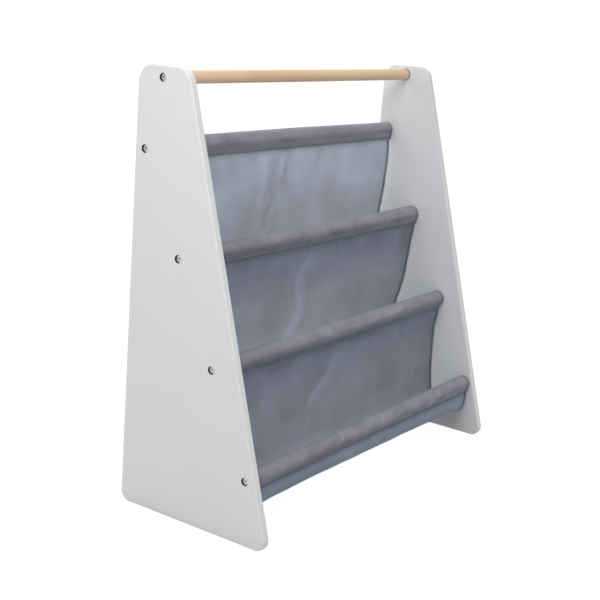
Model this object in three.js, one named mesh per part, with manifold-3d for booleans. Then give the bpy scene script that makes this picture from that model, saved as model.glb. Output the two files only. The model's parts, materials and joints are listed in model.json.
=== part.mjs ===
// A sling bookshelf for children: two painted side boards, a bare handle bar, and four rods
// that carry a cloth rack of three slings. Bolts through the boards pull the rods tight.
//
// Millimetres. X runs from the left board to the right, Y to the back, Z up from the floor.
// The origin is on the floor, in the middle of the space that the boards stand on.

import * as THREE from 'three';
import { mergeVertices } from 'three/addons/utils/BufferGeometryUtils.js';
import Module from 'manifold-3d';

const wasm = await Module();
wasm.setup();

// Overall
const overallWidth = 620;
const sideHeight = 600;
const boardThickness = 12;

// Outline of a side board, between its sharp corners: the back edge is upright
const footDepth = 253;
const crownDepth = 82;
const crownRadius = 24;
const footRadius = 14;
const boardEase = 2;
const cornerSteps = 8;
const easeSteps = 3;

// Handle bar and the four rods of the rack
const handleDiameter = 18;
const rodDiameter = 18;
const barEase = 1;
const handleDrop = 15.3;
const topRodHeight = 491.4;
const bottomRodHeight = 88.6;
const rodEdgeInset = 16;
const roundSteps = 20;

// Joints between the bars and the boards
const seatGap = 0.3;
const socketDepth = 3;
const boltDiameter = 6;
const boltReach = 28;
const boltTip = 1;
const headDiameter = 10;
const headHeight = 4;
const headEase = 0.6;
const headRecess = 2;
const boreClearance = 0.5;
const keyWidth = 4;
const keyDepth = 2.4;
const keySides = 6;
const cutOverrun = 5;
const boltSteps = 12;

// Threaded insert in each end of each bar
const insertDiameter = 9;
const insertLength = 14;
const insertRecess = 1;
const ribDepth = 0.5;
const ribCount = 3;
const pilotSpare = 3;

// Cloth
const clothThickness = 1;
const loopSlack = 1.2;
const loopSwell = 0.5;
const backLipDrop = 12.8;
const lipLength = 2.5;
const hemTuck = 0.5;
const sleeveEndGap = 2.5;
const slingEdgeInset = 3.5;
const loopSteps = 13;
const sleeveColumns = 8;
const slingSteps = 22;
const slingColumns = 16;

// How far in front of its rod each seam lies, from the top rod down, as shares of a rod, and
// how far below the rod's axis its front lip begins
const seamForwardShares = [0.47, 0.27, 0.08, 0.48];
const frontLipDrops = [12.8, 12.8, 12.8, 7.2];

// Each sling from its upper rod to its lower one: places on the cloth, as shares of the step
// from rod to rod. The first number runs forward, the second down.
const slingShares = [
  [[0.147, 0.353], [0.110, 0.651], [0.021, 1.038], [-0.032, 1.217], [0.113, 1.381],
    [0.450, 1.448], [0.771, 1.396], [0.970, 1.276]],
  [[0.068, 0.418], [-0.030, 0.827], [-0.191, 1.170], [-0.168, 1.319], [0.077, 1.431],
    [0.445, 1.453], [0.781, 1.364], [0.973, 1.244]],
  [[0.017, 0.394], [0.041, 0.781], [0.080, 0.990], [0.164, 1.183], [0.330, 1.320],
    [0.580, 1.375], [0.830, 1.345], [1.030, 1.295], [1.125, 1.200]],
];
const slingNames = ['top', 'middle', 'bottom'];

// Main folds of each sling. Place and lean are shares of half the width, height is a share
// of the fold height, and all end at a share of the way down and round to the lower rod.
const foldHeight = 4;
const foldWidth = 36;
const foldReach = 0.62;
const foldShares = [
  [{ place: -0.16, lean: 0.05, height: 1 }, { place: 0.05, lean: 0.06, height: 0.6 },
    { place: 0.62, lean: -0.06, height: 0.5 }],
  [{ place: 0.04, lean: -0.28, height: 1 }, { place: -0.55, lean: 0.10, height: 0.5 },
    { place: 0.58, lean: -0.10, height: 0.5 }],
  [{ place: -0.05, lean: -0.36, height: 1 }, { place: -0.50, lean: 0.05, height: 0.6 },
    { place: 0.50, lean: 0.05, height: 0.5 }],
];
const endDroop = 5;
const droopPower = 4;

// Finishes
const paintFinish = { color: 0xe9e9e8, roughness: 0.45, metalness: 0 };
const bareWoodFinish = { color: 0xd9b78c, roughness: 0.6, metalness: 0 };
const slingFinish = { color: 0x7b8290, roughness: 0.9, metalness: 0 };
const sleeveFinish = { color: 0x7f7d84, roughness: 0.9, metalness: 0 };
const steelFinish = { color: 0xa9abab, roughness: 0.35, metalness: 1 };
const brassFinish = { color: 0xb59a5b, roughness: 0.4, metalness: 1 };

// Worked out from the sizes above
const innerWidth = overallWidth - 2 * boardThickness;
const innerFace = innerWidth / 2;
const outerFace = overallWidth / 2;
const frontSlope = (footDepth - crownDepth) / sideHeight;
const frontStretch = Math.hypot(1, frontSlope);
const toeSetback = footRadius * (frontSlope + frontStretch - 1);
const backEdge = (footDepth - toeSetback) / 2;
const rodRadius = rodDiameter / 2;
const handleRadius = handleDiameter / 2;
const barLength = innerWidth + 2 * socketDepth - 2 * seatGap;
const rodCount = slingShares.length + 1;

// Where the board's front edge is at a height
function frontEdgeAt(height) {
  return backEdge - footDepth + height * frontSlope;
}

// The rods stand in one straight row, from high at the back to low at the front
const topRod = new THREE.Vector2(backEdge - rodEdgeInset, topRodHeight);
const bottomRod = new THREE.Vector2(frontEdgeAt(bottomRodHeight) + rodEdgeInset, bottomRodHeight);
const rodPlaces = Array.from(
  { length: rodCount },
  (_, i) => topRod.clone().lerp(bottomRod, i / (rodCount - 1)),
);
const handlePlace = new THREE.Vector2(backEdge - crownDepth / 2, sideHeight - handleDrop);
const rodRun = (topRod.x - bottomRod.x) / (rodCount - 1);
const rodRise = (topRod.y - bottomRod.y) / (rodCount - 1);

const shelf = new THREE.Group();

// Materials
const paint = new THREE.MeshStandardMaterial(paintFinish);
const bareWood = new THREE.MeshStandardMaterial(bareWoodFinish);
const slingCloth = new THREE.MeshStandardMaterial(slingFinish);
const sleeveCloth = new THREE.MeshStandardMaterial(sleeveFinish);
const steel = new THREE.MeshStandardMaterial(steelFinish);
const brass = new THREE.MeshStandardMaterial(brassFinish);

function addPiece(name, geometry, material) {
  const piece = new THREE.Mesh(geometry, material);
  piece.name = name;
  shelf.add(piece);
  return piece;
}

// Solids for cutting
function toSolid(geometry) {
  const bare = geometry.clone();
  bare.deleteAttribute('normal');
  bare.deleteAttribute('uv');
  const merged = mergeVertices(bare);
  const mesh = new wasm.Mesh({
    numProp: 3,
    vertProperties: new Float32Array(merged.attributes.position.array),
    triVerts: new Uint32Array(merged.index.array),
  });
  return new wasm.Manifold(mesh);
}

function toGeometry(solid) {
  const mesh = solid.getMesh();
  const geometry = new THREE.BufferGeometry();
  geometry.setAttribute('position', new THREE.BufferAttribute(mesh.vertProperties, 3));
  geometry.setIndex(new THREE.BufferAttribute(mesh.triVerts, 1));
  geometry.computeVertexNormals();
  return geometry;
}

// A revolved shape from pairs of radius and height
function revolve(profile, steps) {
  return new THREE.LatheGeometry(profile.map(([r, h]) => new THREE.Vector2(r, h)), steps);
}

// Side board outline, in Y and Z: straight edges joined by arcs that touch both
function roundCorner(shape, before, corner, after, radius) {
  const back = before.clone().sub(corner).normalize();
  const on = after.clone().sub(corner).normalize();
  const half = Math.acos(back.dot(on)) / 2;
  const bisector = back.clone().add(on).normalize();
  const centre = corner.clone().addScaledVector(bisector, radius / Math.sin(half));
  const start = corner.clone().addScaledVector(back, radius / Math.tan(half)).sub(centre);
  const end = corner.clone().addScaledVector(on, radius / Math.tan(half)).sub(centre);
  shape.absarc(centre.x, centre.y, radius, start.angle(), end.angle(), false);
}

function boardOutline() {
  const corners = [
    new THREE.Vector2(backEdge, 0),
    new THREE.Vector2(backEdge, sideHeight),
    new THREE.Vector2(backEdge - crownDepth, sideHeight),
    new THREE.Vector2(backEdge - footDepth, 0),
  ];
  const radii = [footRadius, crownRadius, crownRadius, footRadius];
  const shape = new THREE.Shape();
  corners.forEach((corner, i) => {
    const before = corners[(i + corners.length - 1) % corners.length];
    const after = corners[(i + 1) % corners.length];
    roundCorner(shape, before, corner, after, radii[i]);
  });
  shape.closePath();
  return shape;
}

// The counterbore, bolt hole and bar socket at one place, from the outer face inwards
function boardHole(barRadius) {
  const boreRadius = headDiameter / 2 + boreClearance;
  const boreDepth = headRecess + headHeight + seatGap;
  const holeRadius = boltDiameter / 2 + seatGap;
  const socketRadius = barRadius + seatGap;
  const socketFloor = boardThickness - socketDepth;
  return revolve([
    [0, -cutOverrun],
    [boreRadius, -cutOverrun],
    [boreRadius, boreDepth],
    [holeRadius, boreDepth],
    [holeRadius, socketFloor],
    [socketRadius, socketFloor],
    [socketRadius, boardThickness + cutOverrun],
    [0, boardThickness + cutOverrun],
  ], roundSteps);
}

// outward is -1 for the left board and 1 for the right one
function sideBoard(outward) {
  const blank = new THREE.ExtrudeGeometry(boardOutline(), {
    depth: boardThickness - 2 * boardEase,
    curveSegments: cornerSteps,
    bevelThickness: boardEase,
    bevelSize: boardEase,
    bevelOffset: -boardEase,
    bevelSegments: easeSteps,
  });
  blank.translate(0, 0, boardEase);
  let board = toSolid(blank);
  const holes = rodPlaces.map((place) => ({ place, radius: rodRadius }));
  holes.push({ place: handlePlace, radius: handleRadius });
  for (const { place, radius } of holes) {
    const hole = boardHole(radius);
    hole.rotateX(-outward * Math.PI / 2);
    hole.translate(place.x, place.y, outward > 0 ? boardThickness : 0);
    board = board.subtract(toSolid(hole));
  }
  return toGeometry(board);
}

function addBoard(name, outward) {
  const board = addPiece(name, sideBoard(outward), paint);
  const turned = new THREE.Matrix4().makeBasis(
    new THREE.Vector3(0, 1, 0),
    new THREE.Vector3(0, 0, 1),
    new THREE.Vector3(1, 0, 0),
  );
  board.quaternion.setFromRotationMatrix(turned);
  board.position.x = outward > 0 ? innerFace : -outerFace;
}

// A bar with an eased rim and a pilot hole for an insert at each end
const pilotRadius = insertDiameter / 2 + seatGap;
const boltEnd = headRecess + headHeight + boltReach;
const barEnd = boardThickness - socketDepth + seatGap;
const pilotDepth = boltEnd - barEnd + pilotSpare;

function barGeometry(radius) {
  const half = barLength / 2;
  const bar = revolve([
    [0, -half + pilotDepth],
    [pilotRadius, -half + pilotDepth],
    [pilotRadius, -half],
    [radius - barEase, -half],
    [radius, -half + barEase],
    [radius, half - barEase],
    [radius - barEase, half],
    [pilotRadius, half],
    [pilotRadius, half - pilotDepth],
    [0, half - pilotDepth],
  ], roundSteps);
  bar.rotateZ(-Math.PI / 2);
  return bar;
}

function addBar(name, place, radius, material) {
  const bar = addPiece(name, barGeometry(radius), material);
  bar.position.set(0, place.x, place.y);
}

// A bolt along +X from the top of its head, with a hexagon socket
function boltGeometry() {
  const headRadius = headDiameter / 2;
  const shankRadius = boltDiameter / 2;
  const tip = headHeight + boltReach;
  const blank = revolve([
    [0, 0],
    [headRadius - headEase, 0],
    [headRadius, headEase],
    [headRadius, headHeight],
    [shankRadius, headHeight],
    [shankRadius, tip - boltTip],
    [shankRadius - boltTip, tip],
    [0, tip],
  ], boltSteps);
  const keyRadius = keyWidth / Math.sqrt(3);
  const key = new THREE.CylinderGeometry(keyRadius, keyRadius, 2 * keyDepth, keySides);
  const bolt = toGeometry(toSolid(blank).subtract(toSolid(key)));
  bolt.rotateZ(-Math.PI / 2);
  return bolt;
}

// A ribbed sleeve nut along +X from its outer end
function insertGeometry() {
  const outer = insertDiameter / 2;
  const inner = boltDiameter / 2 + seatGap;
  const pitch = insertLength / ribCount;
  const profile = [[inner, 0]];
  for (let i = 0; i < ribCount; i += 1) {
    profile.push([outer - ribDepth, i * pitch]);
    profile.push([outer, (i + 1) * pitch]);
  }
  profile.push([inner, insertLength]);
  profile.push([inner, 0]);
  const insert = revolve(profile, boltSteps);
  insert.rotateZ(-Math.PI / 2);
  return insert;
}

function addFastening(side, label, place, outward) {
  const turn = outward > 0 ? Math.PI : 0;
  const bolt = addPiece(`${side}_bolt_${label}`, boltGeometry(), steel);
  bolt.rotation.z = turn;
  bolt.position.set(outward * (outerFace - headRecess), place.x, place.y);
  const insert = addPiece(`${side}_insert_${label}`, insertGeometry(), brass);
  insert.rotation.z = turn;
  insert.position.set(outward * (barLength / 2 - insertRecess), place.x, place.y);
}

// Cloth: a sheet follows a line in Y and Z, and columns of it stand side by side along X.
// lineAt gives the middle of the cloth at x, always with as many points.
function clothSheet(lineAt, halfWidth, columns) {
  const positions = [];
  const index = [];
  const reach = clothThickness / 2;
  let ring = 0;
  for (let c = 0; c <= columns; c += 1) {
    const x = halfWidth * (2 * c / columns - 1);
    const line = lineAt(x);
    const sides = line.map((point, i) => {
      const last = line.length - 1;
      const before = line[Math.max(i - 1, 0)];
      const after = line[Math.min(i + 1, last)];
      const into = point.clone().sub(before).normalize();
      const out = after.clone().sub(point).normalize();
      const along = into.add(out).normalize();
      const bend = i > 0 && i < last ? along.dot(out) : 1;
      return new THREE.Vector2(-along.y, along.x).multiplyScalar(reach / bend);
    });
    const right = line.map((point, i) => point.clone().sub(sides[i]));
    const left = line.map((point, i) => point.clone().add(sides[i])).reverse();
    const around = right.concat(left);
    ring = around.length;
    around.forEach((point) => positions.push(x, point.x, point.y));
  }
  const corner = (c, j) => c * ring + ((j + ring) % ring);
  for (let c = 0; c < columns; c += 1) {
    for (let j = 0; j < ring; j += 1) {
      index.push(corner(c, j), corner(c, j + 1), corner(c + 1, j + 1));
      index.push(corner(c, j), corner(c + 1, j + 1), corner(c + 1, j));
    }
  }
  for (let i = 0; i < ring / 2 - 1; i += 1) {
    const mirror = ring - 1 - i;
    index.push(corner(columns, i), corner(columns, i + 1), corner(columns, mirror - 1));
    index.push(corner(columns, i), corner(columns, mirror - 1), corner(columns, mirror));
    index.push(corner(0, i + 1), corner(0, i), corner(0, mirror - 1));
    index.push(corner(0, mirror - 1), corner(0, i), corner(0, mirror));
  }
  const geometry = new THREE.BufferGeometry();
  geometry.setAttribute('position', new THREE.Float32BufferAttribute(positions, 3));
  geometry.setIndex(index);
  geometry.computeVertexNormals();
  return geometry;
}

// Seams. Forward is towards -Y, and places are counted from the rod's axis.
const sheetStep = clothThickness + seatGap;
const sleeveHalfWidth = innerFace - sleeveEndGap;
const slingHalfWidth = sleeveHalfWidth - slingEdgeInset;

function seamForward(rod) {
  return seamForwardShares[rod] * rodDiameter;
}

// Below the axis, where the sheets between the lips begin and where they come out
function hemTop(rod) {
  return frontLipDrops[rod] + hemTuck;
}

function lipEnd(rod) {
  return frontLipDrops[rod] + lipLength;
}

function sheetsAt(rod) {
  return rod === 0 || rod === rodCount - 1 ? 1 : 2;
}

// A sleeve is a loose loop that hangs on its rod, drawn together below into two lips with
// the edges of the slings between them
function sleeveLine(rod, x) {
  const slack = loopSlack + loopSwell * Math.cos(Math.PI * x / (2 * sleeveHalfWidth));
  const radius = rodRadius + slack + clothThickness / 2;
  const centre = new THREE.Vector2(0, seatGap - slack);
  const lipOffset = (sheetsAt(rod) + 1) * sheetStep / 2;
  const frontLip = new THREE.Vector2(-seamForward(rod) - lipOffset, -frontLipDrops[rod]);
  const backLip = new THREE.Vector2(-seamForward(rod) + lipOffset, -backLipDrop);
  const [frontAngle, backAngle] = [frontLip, backLip].map((lip, i) => {
    const toLip = lip.clone().sub(centre);
    const spread = Math.acos(radius / toLip.length());
    return i === 0 ? toLip.angle() - spread : toLip.angle() + spread;
  });
  const sweep = backAngle - frontAngle - 2 * Math.PI;
  const down = new THREE.Vector2(0, -lipLength);
  const line = [frontLip.clone().add(down), frontLip];
  for (let i = 0; i <= loopSteps; i += 1) {
    const angle = frontAngle + sweep * i / loopSteps;
    const spoke = new THREE.Vector2(Math.cos(angle), Math.sin(angle));
    line.push(spoke.multiplyScalar(radius).add(centre));
  }
  line.push(backLip, backLip.clone().add(down));
  return line;
}

function addSleeve(rod) {
  const geometry = clothSheet((x) => sleeveLine(rod, x), sleeveHalfWidth, sleeveColumns);
  const sleeve = addPiece(`sleeve_${rod + 1}`, geometry, sleeveCloth);
  sleeve.position.set(0, rodPlaces[rod].x, rodPlaces[rod].y);
}

// A sling hangs from the lips of one sleeve and comes up into the lips of the next one
function slingCurve(order) {
  const upperShift = order === 0 ? 0 : sheetStep / 2;
  const lowerShift = order === rodCount - 2 ? 0 : sheetStep / 2;
  const upper = -seamForward(order) - upperShift;
  const lower = -rodRun - seamForward(order + 1) + lowerShift;
  const hung = slingShares[order].map(
    ([run, rise]) => new THREE.Vector3(-run * rodRun, -rise * rodRise, 0),
  );
  const exit = new THREE.Vector3(upper, -lipEnd(order) - seatGap, 0);
  const entry = new THREE.Vector3(lower, -rodRise - lipEnd(order + 1) - seatGap, 0);
  const curve = new THREE.CatmullRomCurve3([exit, ...hung, entry], false, 'centripetal');
  const spaced = curve.getSpacedPoints(slingSteps).map(({ x, y }) => new THREE.Vector2(x, y));
  const first = new THREE.Vector2(upper, -hemTop(order));
  const last = new THREE.Vector2(lower, -rodRise - hemTop(order + 1));
  return [first, ...spaced, last];
}

// How far the cloth stands in from its smooth curve, at x and at a share of the way along it
function foldAt(order, x, along) {
  const envelope = Math.sin(Math.PI * Math.min(along / foldReach, 1));
  return foldShares[order].reduce((sum, fold) => {
    const ridge = (fold.place + fold.lean * along) * slingHalfWidth;
    const away = (x - ridge) / foldWidth;
    return sum + foldHeight * fold.height * envelope * Math.exp(-away * away);
  }, 0);
}

function slingLine(order, curve, x) {
  const spans = curve.length - 3;
  return curve.map((point, i) => {
    const along = Math.min(Math.max(i - 1, 0), spans) / spans;
    const before = curve[Math.max(i - 1, 0)];
    const after = curve[Math.min(i + 1, curve.length - 1)];
    const ahead = after.clone().sub(before).normalize();
    const inward = new THREE.Vector2(ahead.y, -ahead.x);
    const nearEnd = Math.abs(x / slingHalfWidth) ** droopPower;
    const moved = point.clone().addScaledVector(inward, foldAt(order, x, along));
    moved.y -= endDroop * nearEnd * Math.sin(Math.PI * along) ** 2;
    return moved;
  });
}

function addSling(order) {
  const curve = slingCurve(order);
  const geometry = clothSheet((x) => slingLine(order, curve, x), slingHalfWidth, slingColumns);
  const sling = addPiece(`sling_${slingNames[order]}`, geometry, slingCloth);
  sling.position.set(0, rodPlaces[order].x, rodPlaces[order].y);
}

// The shelf
addBoard('left_side', -1);
addBoard('right_side', 1);
addBar('handle_bar', handlePlace, handleRadius, bareWood);
rodPlaces.forEach((place, rod) => addBar(`rod_${rod + 1}`, place, rodRadius, bareWood));
rodPlaces.forEach((_, rod) => addSleeve(rod));
slingShares.forEach((_, order) => addSling(order));
for (const [side, outward] of [['left', -1], ['right', 1]]) {
  addFastening(side, 'handle', handlePlace, outward);
  rodPlaces.forEach((place, rod) => addFastening(side, `rod_${rod + 1}`, place, outward));
}

export default shelf;
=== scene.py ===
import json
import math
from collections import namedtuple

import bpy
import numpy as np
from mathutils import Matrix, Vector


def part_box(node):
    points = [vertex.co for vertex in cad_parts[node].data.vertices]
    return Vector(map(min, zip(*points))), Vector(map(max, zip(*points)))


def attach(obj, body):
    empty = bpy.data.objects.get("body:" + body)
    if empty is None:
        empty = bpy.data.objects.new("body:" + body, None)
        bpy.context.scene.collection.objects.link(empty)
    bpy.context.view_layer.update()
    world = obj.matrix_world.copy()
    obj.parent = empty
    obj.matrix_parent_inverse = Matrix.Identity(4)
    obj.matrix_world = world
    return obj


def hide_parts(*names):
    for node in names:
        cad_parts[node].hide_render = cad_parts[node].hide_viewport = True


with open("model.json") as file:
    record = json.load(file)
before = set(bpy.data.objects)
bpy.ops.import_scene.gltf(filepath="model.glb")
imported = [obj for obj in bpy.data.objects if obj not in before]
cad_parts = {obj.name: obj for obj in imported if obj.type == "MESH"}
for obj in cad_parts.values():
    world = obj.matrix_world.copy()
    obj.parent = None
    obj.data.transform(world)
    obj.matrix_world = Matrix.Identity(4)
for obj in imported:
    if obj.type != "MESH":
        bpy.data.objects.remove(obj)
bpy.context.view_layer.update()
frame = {"nodes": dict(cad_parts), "record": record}

# A sling bookshelf for children: two painted boards, a bare handle bar, and a cloth rack of
# three slings that hang from the sleeves on four rods.
#
# Metres. X runs from the left board to the right, Y to the back, Z up from the floor. The
# boards, bars and inserts are the model's own pieces with a finish put on them. The cloth and
# the bolts are modelled here, in the places that the model gives them.

mm = 0.001

# Camera
camera_place = Vector((-1.4677, -0.9292, 0.6933))
camera_yaw = math.radians(56.081)
camera_pitch = math.radians(14.088)
camera_roll = math.radians(4.514)
camera_lens = 71.777

# Light: a steady glow of the room, soft lobes of it from above and from the front, each a
# direction and a strength, and lamps that look at the rack's middle
room_glow = 0.05
room_lobes = [((0, 0, 1), 0.9), ((0, -1, 0), 0.24)]
lamps = {
    "side": {"place": (-1.1, -0.3, 1.25), "size": 0.6, "watts": 6.4},
    "back_left": {"place": (-1.0, 0.35, 1.1), "size": 0.6, "watts": 0.6},
    "rear": {"place": (0.26, 0.55, 0.75), "size": 0.5, "watts": 2.9},
}

# Floor: its size, the tone in which it sends light back, and its tone and glow where it is seen
floor_reach = 30
floor_drop = 0.3 * mm
floor_tone = 0.64
floor_seen_tone = 0.28
floor_lift = 0.86

# Under the rack little light comes back from the floor: its tone there, and where that starts to
# fade and ends, across and in depth
shaded_tone = 0.2
shaded_across = (0.26, 0.34)
shaded_depth = (0.10, 0.20)

# Places and sizes of the bars and boards, read from the model
rod_count = 4
bottom_sling = rod_count - 2


def middle_of(node):
    low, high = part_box(node)
    return (np.array(low) + np.array(high)) / 2


rods = [middle_of(f"rod_{n + 1}")[1:] for n in range(rod_count)]
handle = middle_of("handle_bar")[1:]
rod_radius = float(np.ptp([corner[2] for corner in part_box("rod_1")])) / 2
inner_face = -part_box("left_side")[1][0]
rod_step = (rods[0] - rods[-1]) / (rod_count - 1)
rack_middle = Vector((0, *((rods[0] + rods[-1]) / 2)))

# Holes in the boards: bores for the bolt heads from outside, and the handle's sockets inside
socket_depth = 3.2 * mm
bore_reach = 5.5 * mm
socket_reach = rod_radius + 0.75 * mm

# Cloth. The lines that the sheets follow are those of the model's plain solids.
cloth_thickness = 0.9 * mm
sheet_step = 1.3 * mm
seat_gap = 0.3 * mm
loop_depth = 12.1 * mm
lip_length = 2.5 * mm
back_lip_drop = 12.8 * mm
hem_tuck = 0.5 * mm
sleeve_end_gap = 2.5 * mm
sling_edge_inset = 3.5 * mm
sleeve_half_width = inner_face - sleeve_end_gap
sling_half_width = sleeve_half_width - sling_edge_inset

# How far in front of its rod each seam lies, as shares of a rod's diameter, and how far below
# the rod's axis the front lip ends
seam_forward_shares = [0.47, 0.27, 0.08, 0.48]
lip_ends = [15.3 * mm, 15.3 * mm, 15.3 * mm, 9.7 * mm]

# How each sleeve strays from that at its left end, in its middle and at its right end, in
# millimetres: its lip hangs lower, its seam has slipped forward, and its cloth stands off the rod
sleeve_strays = [
    {"lower": (0.6, -0.1, -0.1), "slip": (-1.2, 0.15, 0.15), "rise": (2.5, 2.9, 1.0)},
    {"lower": (-0.3, 0.7, -1.3), "slip": (0.6, -1.5, 2.8), "rise": (0.3, 1.2, 2.0)},
    {"lower": (-0.3, 1.6, -1.8), "slip": (0.6, -3.2, 3.8), "rise": (0.8, 2.0, 1.5)},
    {"lower": (-0.6, -0.9, 1.8), "slip": (0, 0, 0), "rise": (0.3, 0.5, 1.2)},
]

# Each sling from its upper rod to its lower one, as shares of the step from rod to rod
sling_shares = {
    "sling_top": [
        (0.147, 0.353), (0.110, 0.651), (0.021, 1.038), (-0.032, 1.217),
        (0.113, 1.381), (0.450, 1.448), (0.771, 1.396), (0.970, 1.276),
    ],
    "sling_middle": [
        (0.068, 0.418), (-0.030, 0.827), (-0.191, 1.170), (-0.168, 1.319),
        (0.077, 1.431), (0.445, 1.453), (0.781, 1.364), (0.973, 1.244),
    ],
    "sling_bottom": [
        (0.017, 0.394), (0.041, 0.781), (0.080, 0.990), (0.164, 1.183),
        (0.330, 1.320), (0.580, 1.375), (0.830, 1.345), (1.030, 1.295), (1.125, 1.200),
    ],
}

# Numbers that start the random draws. The number of the rod or sling is added to them.
lip_seed = 80
dent_seed = 20
hang_seed = 5
pucker_seed = 9
patch_seed = 30


# Small helpers
def link(thing):
    bpy.context.scene.collection.objects.link(thing)
    return thing


def smooth_step(value, low, high):
    share = np.clip((value - low) / (high - low), 0, 1)
    return share * share * (3 - 2 * share)


def bell(share):
    """1 in the middle of a soft hump, and almost nothing beyond twice its reach."""
    return np.exp(-share ** 2)


ripple_turn = 0.35
ripple_stretch = 2.7


def ripple(seed, waves, *places):
    """A slow random height between about -1 and 1 over the places, from waves of given lengths."""
    draw = np.random.RandomState(seed)
    total = 0
    for lengths in waves:
        phase = draw.uniform(0, 2 * math.pi)
        turn = draw.uniform(-ripple_turn, ripple_turn)
        angle = phase
        for place, length in zip(places, lengths):
            angle = angle + 2 * math.pi * place / length
        total = total + np.sin(angle + turn * np.sin(angle / ripple_stretch + phase))
    return total / math.sqrt(len(waves))


# Camera and lamps
def add_camera():
    forward = Vector((
        math.sin(camera_yaw) * math.cos(camera_pitch),
        math.cos(camera_yaw) * math.cos(camera_pitch),
        -math.sin(camera_pitch),
    ))
    level = Vector((math.cos(camera_yaw), -math.sin(camera_yaw), 0))
    upright = level.cross(forward)
    right = level * math.cos(camera_roll) + upright * math.sin(camera_roll)
    up = upright * math.cos(camera_roll) - level * math.sin(camera_roll)
    camera = link(bpy.data.objects.new("camera", bpy.data.cameras.new("camera")))
    camera.data.lens = camera_lens
    camera.matrix_world = Matrix((right, up, -forward)).transposed().to_4x4()
    camera.matrix_world.translation = camera_place
    bpy.context.scene.camera = camera


def add_lamp(name, place, size, watts):
    lamp = bpy.data.lights.new(name, "AREA")
    lamp.size = size
    lamp.energy = watts
    holder = link(bpy.data.objects.new(name, lamp))
    holder.location = place
    holder.visible_camera = False
    holder.rotation_euler = (Vector(place) - rack_middle).to_track_quat("Z", "Y").to_euler()


# Shader nodes
FLOAT = "NodeSocketFloat"
COLOR = "NodeSocketColor"
VECTOR = "NodeSocketVector"


def join(tree, value, socket):
    if isinstance(value, bpy.types.NodeSocket):
        tree.links.new(value, socket)
    else:
        socket.default_value = value


def connect(tree, node, **inputs):
    """Feeds a node. An input given as a socket is linked, another one is set."""
    for label, value in inputs.items():
        wanted = label.replace("_", " ")
        join(tree, value, next(s for s in node.inputs if s.name == wanted and s.enabled))


def add_node(tree, kind, settings=None, **inputs):
    node = tree.nodes.new(kind)
    for setting, value in (settings or {}).items():
        setattr(node, setting, value)
    connect(tree, node, **inputs)
    return node


def out(node):
    return next(s for s in node.outputs if s.enabled)


def calc(tree, operation, *values):
    node = tree.nodes.new("ShaderNodeMath")
    node.operation = operation
    for value, socket in zip(values, node.inputs):
        join(tree, value, socket)
    return node.outputs[0]


def times(tree, first, second):
    return calc(tree, "MULTIPLY", first, second)


def plus(tree, first, second):
    return calc(tree, "ADD", first, second)


def minus(tree, first, second):
    return calc(tree, "SUBTRACT", first, second)


def blend_colors(tree, factor, first, second):
    return out(add_node(
        tree, "ShaderNodeMix", {"data_type": "RGBA"}, Factor=factor, A=first, B=second,
    ))


def gray(tone):
    return (tone, tone, tone, 1)


def scaled(tree, vector, factor):
    node = add_node(tree, "ShaderNodeVectorMath", {"operation": "SCALE"}, Scale=factor)
    join(tree, vector, node.inputs[0])
    return node.outputs[0]


def of_vectors(tree, operation, first, second):
    """The result of an operation on two vectors, a number for a dot product or a distance."""
    node = add_node(tree, "ShaderNodeVectorMath", {"operation": operation})
    join(tree, first, node.inputs[0])
    join(tree, second, node.inputs[1])
    return out(node)


def remap(tree, value, low, high, to_low=0, to_high=1):
    settings = {"interpolation_type": "SMOOTHSTEP"}
    return out(add_node(
        tree, "ShaderNodeMapRange", settings,
        Value=value, From_Min=low, From_Max=high, To_Min=to_low, To_Max=to_high,
    ))


def noise(tree, place, scale, detail):
    return out(add_node(tree, "ShaderNodeTexNoise", None, Vector=place, Scale=scale, Detail=detail))


def stretched_noise(tree, place, scales, detail):
    stretched = out(add_node(tree, "ShaderNodeMapping", None, Vector=place, Scale=scales))
    return noise(tree, stretched, 1, detail)


def bumped(tree, height, strength, distance):
    """The normal of a surface with small heights on it."""
    return out(add_node(
        tree, "ShaderNodeBump", None, Height=height, Strength=strength, Distance=distance,
    ))


def place_in_rack(tree):
    """Where a point of the surface is, as a vector and as its three parts."""
    spot = tree.nodes.new("ShaderNodeNewGeometry").outputs["Position"]
    return spot, add_node(tree, "ShaderNodeSeparateXYZ", None, Vector=spot).outputs


def show_both(tree, kind, first, second, **inputs):
    """Feeds two shaders, mixed or added, to the surface of the material."""
    both = add_node(tree, kind, None, **inputs)
    tree.links.new(out(first), both.inputs[-2])
    tree.links.new(out(second), both.inputs[-1])
    tree.links.new(out(both), tree.nodes["Material Output"].inputs["Surface"])


def new_group(name, inputs, outputs):
    """An empty node group that takes a place on the surface and the given inputs."""
    group = bpy.data.node_groups.new(name, "ShaderNodeTree")
    group.interface.new_socket("Place", in_out="INPUT", socket_type=VECTOR)
    for label, (kind, value) in inputs.items():
        socket = group.interface.new_socket(label, in_out="INPUT", socket_type=kind)
        if value is not None:
            socket.default_value = value
    for label, kind in outputs.items():
        group.interface.new_socket(label, in_out="OUTPUT", socket_type=kind)
    entry = group.nodes.new("NodeGroupInput").outputs
    result = group.nodes.new("NodeGroupOutput").inputs
    return group, entry, result


def use_group(tree, group, **inputs):
    node = tree.nodes.new("ShaderNodeGroup")
    node.node_tree = group
    for label, value in inputs.items():
        join(tree, value, node.inputs[label])
    return node.outputs


def tone_drift_group():
    """Slow, cloudy change of a colour's tone over a surface."""
    group, entry, result = new_group(
        "tone_drift",
        {"Color": (COLOR, None), "Size": (FLOAT, 0.1), "Amount": (FLOAT, 0.1)},
        {"Color": COLOR},
    )
    cloud = noise(group, entry["Place"], calc(group, "DIVIDE", 1, entry["Size"]), 3)
    swing = times(group, minus(group, cloud, 0.5), entry["Amount"])
    group.links.new(scaled(group, entry["Color"], plus(group, 1, swing)), result["Color"])
    return group


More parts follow.
